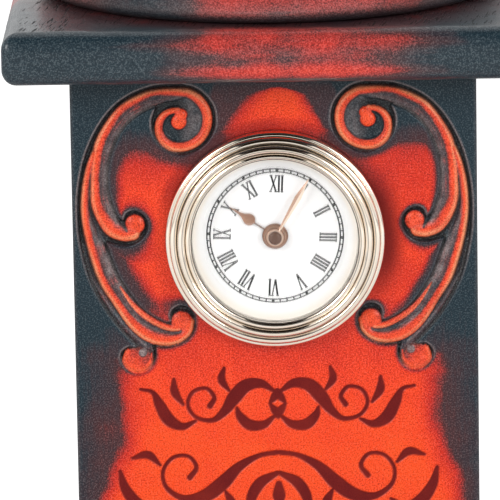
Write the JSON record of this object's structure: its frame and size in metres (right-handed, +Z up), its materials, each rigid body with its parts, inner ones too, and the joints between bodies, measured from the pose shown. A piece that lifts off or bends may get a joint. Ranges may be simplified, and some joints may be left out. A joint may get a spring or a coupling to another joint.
{
  "type": "carved wooden clock",
  "caption": "Square wooden column clock with carved scrolls, a rounded cornice and a turned top, holding a round push-in clock.",
  "frame": {"origin": "centre of the rectangle that the felt feet stand on", "axes": "+Z up along the column, the clock faces -Y, +X to the right seen from the front"},
  "size_m": [0.158, 0.158, 0.298],
  "materials": {
    "stained_wood_dark": "satin stained wood, slate blue",
    "stained_wood_red": "satin stained wood, deep red to orange",
    "raw_wood": "raw planed wood",
    "felt": "pressed felt",
    "zinc_screw": "zinc plated",
    "gold_plate": "polished champagne gold plate",
    "lens_glass": "clear mineral glass",
    "cream_ring": "gloss cream",
    "dial_white": "matte white enamel",
    "hand_bronze": "satin rose bronze",
    "cap_brown": "gloss dark brown",
    "black_plastic": "moulded black",
    "black_rubber": "soft black rubber",
    "ivory_plastic": "moulded ivory",
    "steel": "cold rolled steel",
    "magnet": "sintered magnet",
    "copper_wire": "enamelled copper wire",
    "circuit_green": "green circuit board",
    "brass_part": "bright brass",
    "gear_plastic": "amber acetal",
    "cell_steel": "nickel plated steel"
  },
  "bodies": {
    "case": {"felt_feet": "felt", "base_plate": "stained_wood_dark", "base_screws": "zinc_screw", "front_panel": "stained_wood_red", "left_panel": "stained_wood_dark", "right_panel": "stained_wood_dark", "back_panel": "stained_wood_dark", "corner_strips": "raw_wood", "cornice_dowels": "raw_wood", "cornice_plate": "stained_wood_dark", "disc_screws": "zinc_screw", "round_disc": "stained_wood_red", "crown_disc": "stained_wood_dark", "dome": "stained_wood_red", "top_dowel": "raw_wood", "finial": "stained_wood_dark"},
    "insert": {"insert_cup": "black_plastic", "grip_ring": "black_rubber", "bezel": "gold_plate", "lens": "lens_glass", "reflector_ring": "cream_ring", "dial": "dial_white", "movement_front": "ivory_plastic", "movement_back": "ivory_plastic", "movement_screws": "zinc_screw", "stator": "steel", "coil": "copper_wire", "circuit_board": "circuit_green", "chip": "black_plastic", "quartz_crystal": "cell_steel", "button_cell": "cell_steel", "cell_contacts": "brass_part"},
    "minute_arbor": {"centre_wheel": "brass_part", "minute_hand": "hand_bronze", "hand_cap": "cap_brown"},
    "hour_pipe": {"hour_wheel": "gear_plastic", "hour_hand": "hand_bronze"},
    "motion_wheel": {"motion_wheel": "gear_plastic"},
    "intermediate_wheel": {"intermediate_wheel": "gear_plastic"},
    "rotor": {"rotor": "magnet"},
    "set_knob": {"set_knob": "black_plastic"},
    "battery_cover": {"battery_cover": "black_plastic"}
  },
  "joints": [
    {"name": "insert_pull", "type": "slide", "parent": "case", "child": "insert", "axis": [0, -1, 0], "range_m": [0, 0.045]},
    {"name": "minute_spin", "type": "hinge", "parent": "insert", "child": "minute_arbor", "pos_m": [0, -0.06, 0.1593], "axis": [0, -1, 0], "continuous": true},
    {"name": "hour_spin", "type": "hinge", "parent": "insert", "child": "hour_pipe", "pos_m": [0, -0.06, 0.1593], "axis": [0, -1, 0], "continuous": true},
    {"name": "motion_spin", "type": "hinge", "parent": "insert", "child": "motion_wheel", "pos_m": [0.006, -0.06, 0.1593], "axis": [0, -1, 0], "continuous": true},
    {"name": "intermediate_spin", "type": "hinge", "parent": "insert", "child": "intermediate_wheel", "pos_m": [-0.00693, -0.06, 0.1633], "axis": [0, -1, 0], "continuous": true},
    {"name": "rotor_spin", "type": "hinge", "parent": "insert", "child": "rotor", "pos_m": [-0.00779, -0.06, 0.16817], "axis": [0, -1, 0], "continuous": true},
    {"name": "set_knob_spin", "type": "hinge", "parent": "insert", "child": "set_knob", "pos_m": [0.01024, -0.06, 0.16354], "axis": [0, -1, 0], "continuous": true},
    {"name": "battery_cover_pull", "type": "slide", "parent": "insert", "child": "battery_cover", "axis": [0, 1, 0], "range_m": [0, 0.008]}
  ],
  "couplings": [
    {"joint": "hour_spin", "follows": "minute_spin", "ratio": 0.083333},
    {"joint": "motion_spin", "follows": "minute_spin", "ratio": -0.33333},
    {"joint": "set_knob_spin", "follows": "minute_spin", "ratio": 1},
    {"joint": "intermediate_spin", "follows": "minute_spin", "ratio": -9},
    {"joint": "rotor_spin", "follows": "minute_spin", "ratio": 90}
  ]
}
